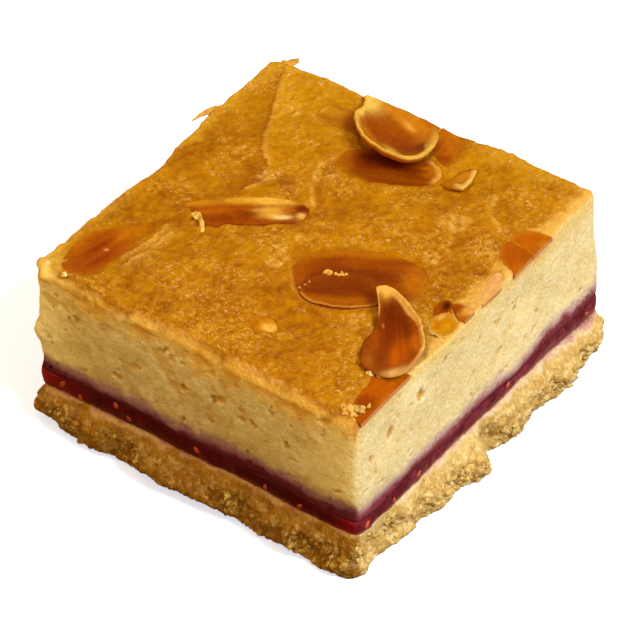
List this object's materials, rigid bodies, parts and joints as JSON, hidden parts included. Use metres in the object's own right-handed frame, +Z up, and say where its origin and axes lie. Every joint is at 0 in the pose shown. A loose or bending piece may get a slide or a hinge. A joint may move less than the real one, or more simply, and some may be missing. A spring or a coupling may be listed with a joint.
{
  "type": "raspberry almond cake slice",
  "caption": "Square-cut cake slice: crumbly shortbread base, a layer of red berry jam, pale almond sponge with a browned crust, and flaked almonds baked into the top.",
  "frame": {"origin": "middle of the flat underside of the base", "axes": "+Z up through the layers, +X out of the right-hand cut face of the picture, -Y out of its left-hand cut face"},
  "size_m": [0.0748, 0.0787, 0.0373],
  "materials": {
    "shortbread": "dry crumbly shortbread",
    "jam": "dark red jam, moist",
    "sponge": "pale open crumb under a golden brown crust",
    "almond": "toasted almond, amber with a pale rim, satin"
  },
  "bodies": {
    "root": {"shortbread_base": "shortbread", "raspberry_jam": "jam", "almond_sponge": "sponge", "flake_curl": "almond", "flake_standing": "almond", "flake_film": "almond", "flake_chip_upright": "almond", "flake_pane": "almond", "flake_tip": "almond", "flake_hollow": "almond", "flake_left": "almond", "flake_sliver": "almond", "flake_dark": "almond", "flake_pale": "almond", "flake_back": "almond", "flake_centre": "almond", "flake_front": "almond", "flake_right_low": "almond", "flake_right_high": "almond", "flake_right_sliver": "almond", "flake_crumb": "almond"}
  },
  "joints": []
}
